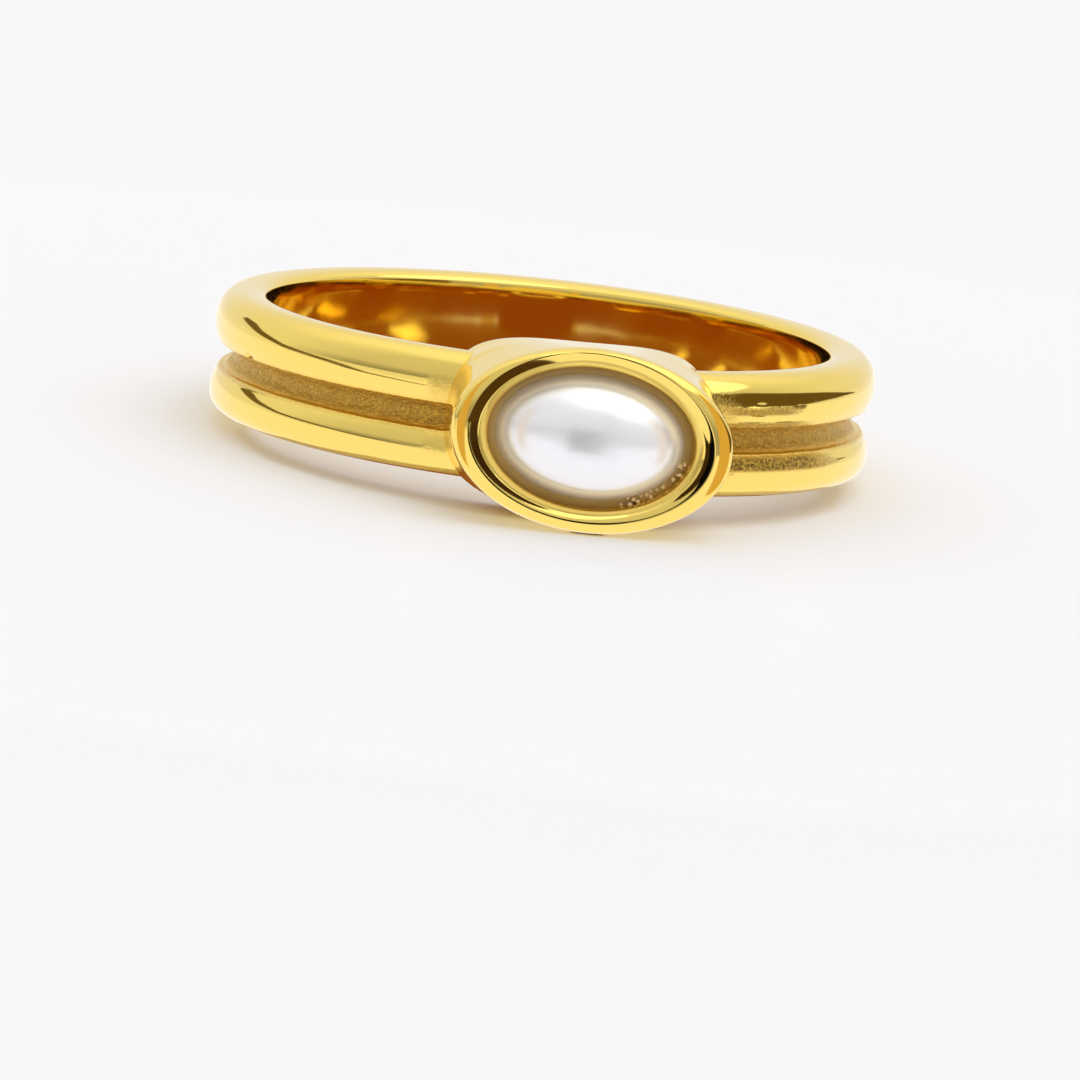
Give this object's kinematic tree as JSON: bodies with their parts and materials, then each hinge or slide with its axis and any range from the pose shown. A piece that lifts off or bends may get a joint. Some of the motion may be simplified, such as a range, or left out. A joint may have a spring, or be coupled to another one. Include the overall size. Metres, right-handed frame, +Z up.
{
  "type": "stackable ring",
  "caption": "Finger ring: a polished gold-coloured hoop, with a round rail along each edge and a rough groove between, and an oval pearl cabochon in a raised cup.",
  "frame": {"origin": "on the surface that the ring lies on, under the middle of its footprint", "axes": "+Z up, close to the hoop's own axis; +Y from the cup to the back of the hoop; the cup and the pearl face -Y"},
  "size_m": [0.0202, 0.0228, 0.0056],
  "materials": {
    "polished_gold": "mirror-polished yellow gold plating, rough cast grain in the groove",
    "pearl": "silky white pearl with a faint lilac sheen"
  },
  "bodies": {
    "root": {"cast_ring_body": "polished_gold", "pearl_cabochon": "pearl"}
  },
  "joints": []
}
